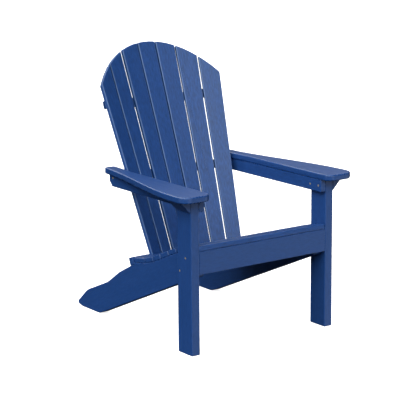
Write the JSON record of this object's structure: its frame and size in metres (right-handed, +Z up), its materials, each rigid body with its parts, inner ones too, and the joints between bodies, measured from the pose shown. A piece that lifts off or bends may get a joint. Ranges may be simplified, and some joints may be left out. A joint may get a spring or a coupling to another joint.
{
  "type": "adirondack chair",
  "caption": "Fixed Adirondack garden chair of solid plastic boards, with a curved fan back, contoured slatted seat, raked side rails and wide level arms.",
  "frame": {"origin": "on the floor, below the centre of the chair's bounding box", "axes": "+Z up, the sitter faces -Y, +X is across the chair, and the plane X = 0 is the mirror plane between left and right"},
  "size_m": [0.825, 0.9305, 1.0932],
  "materials": {
    "frame_lumber": "satin blue plastic lumber with a fine brushed grain, on legs, apron, side rails and cross rails",
    "seat_lumber": "satin blue plastic lumber with a fine brushed grain",
    "back_lumber": "satin blue plastic lumber with a fine brushed grain along each slat",
    "arm_lumber": "satin blue plastic lumber, edges rounded over",
    "screw_metal": "satin tan coated screw heads"
  },
  "bodies": {
    "root": {"leg_left": "frame_lumber", "leg_right": "frame_lumber", "front_apron": "frame_lumber", "side_rail_left": "frame_lumber", "side_rail_right": "frame_lumber", "seat_slat_1": "seat_lumber", "seat_slat_2": "seat_lumber", "seat_slat_3": "seat_lumber", "seat_slat_4": "seat_lumber", "seat_slat_5": "seat_lumber", "seat_slat_6": "seat_lumber", "seat_slat_7": "seat_lumber", "seat_slat_8": "seat_lumber", "lower_cross_rail": "frame_lumber", "middle_cross_rail": "frame_lumber", "upper_cross_rail": "frame_lumber", "back_slat_1": "back_lumber", "back_slat_2": "back_lumber", "back_slat_3": "back_lumber", "back_slat_4": "back_lumber", "back_slat_5": "back_lumber", "back_slat_6": "back_lumber", "back_slat_7": "back_lumber", "arm_support_left": "arm_lumber", "arm_support_right": "arm_lumber", "arm_bracket_left": "arm_lumber", "arm_bracket_right": "arm_lumber", "arm_left": "arm_lumber", "arm_right": "arm_lumber", "leg_screws": "screw_metal", "apron_screws": "screw_metal", "seat_screws": "screw_metal", "back_screws": "screw_metal", "support_screws": "screw_metal", "bracket_screws": "screw_metal", "arm_screws": "screw_metal"}
  },
  "joints": []
}
